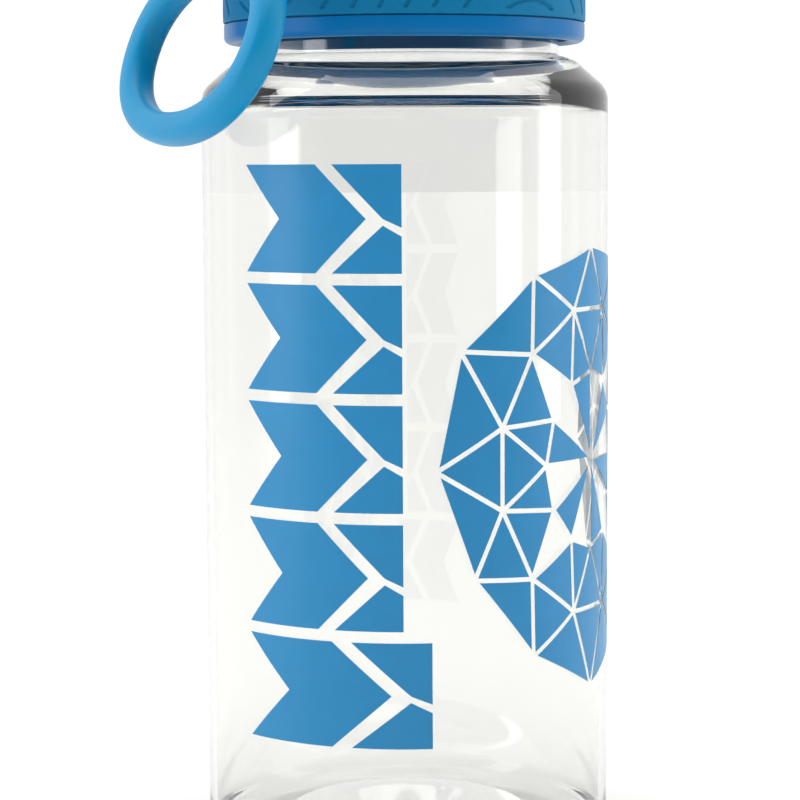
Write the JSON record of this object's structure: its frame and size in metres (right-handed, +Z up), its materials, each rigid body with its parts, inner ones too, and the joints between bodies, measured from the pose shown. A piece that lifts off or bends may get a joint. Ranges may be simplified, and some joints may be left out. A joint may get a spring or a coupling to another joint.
{
  "type": "sports bottle",
  "caption": "Clear rigid sports bottle with a blue screw lid, flip-up spout cover, push button, rubber grip band and hinged carry loop.",
  "frame": {"origin": "centre of the bottle's base, on the bottle's axis, in the plane that it stands on", "axes": "+Z up along the bottle's axis, -Y towards the front where the print is, +X to the right"},
  "size_m": [0.0894, 0.0823, 0.195],
  "materials": {
    "clear_body": "clear copolyester, blow moulded, polished",
    "lid_plastic": "injection moulded polypropylene, fine satin gloss",
    "button_plastic": "injection moulded polypropylene, fine matt",
    "loop_plastic": "injection moulded polypropylene, satin",
    "grip_rubber": "overmoulded thermoplastic rubber, matt, grooved",
    "spout_silicone": "moulded silicone, satin",
    "seal_silicone": "moulded silicone, translucent white",
    "spring_steel": "drawn stainless wire",
    "pin_steel": "ground stainless pin",
    "print_ink": "screen-printed ink"
  },
  "bodies": {
    "bottle": {"bottle_body": "clear_body"},
    "gasket": {"rim_gasket": "seal_silicone"},
    "lid": {"cap_shell": "lid_plastic", "grip_band": "grip_rubber", "deck_cover": "lid_plastic", "mouth_spout": "spout_silicone", "vent_valve": "seal_silicone", "hinge_pin": "pin_steel", "cover_spring": "spring_steel", "button_spring": "spring_steel", "loop_pin": "pin_steel"},
    "cover": {"spout_cover": "lid_plastic", "cover_pad": "seal_silicone"},
    "button": {"push_button": "button_plastic"},
    "loop": {"carry_loop": "loop_plastic"}
  },
  "joints": [
    {"name": "lid_lift", "type": "slide", "parent": "bottle", "child": "gasket", "axis": [0, 0, 1], "range_m": [0, 0.00601]},
    {"name": "lid_turn", "type": "hinge", "parent": "gasket", "child": "lid", "pos_m": [0, 0, 0.16], "axis": [0, 0, 1], "range_deg": [0, 540]},
    {"name": "cover_flip", "type": "hinge", "parent": "lid", "child": "cover", "pos_m": [-0.01329, 0.02177, 0.184], "axis": [-0.8536, -0.521, 0], "range_deg": [0, 130]},
    {"name": "button_press", "type": "slide", "parent": "lid", "child": "button", "axis": [-0.521, 0.8536, 0], "range_m": [0, 0.0015], "stiffness_N_per_m": 400, "springref_m": -0.0015, "deforming": ["button_spring"]},
    {"name": "loop_swing", "type": "hinge", "parent": "lid", "child": "loop", "pos_m": [-0.03141, -0.01917, 0.1643], "axis": [-0.521, 0.8536, 0], "range_deg": [0, 160]}
  ],
  "couplings": [
    {"joint": "lid_lift", "follows": "lid_turn", "m_per_rad": 0.00063662}
  ]
}
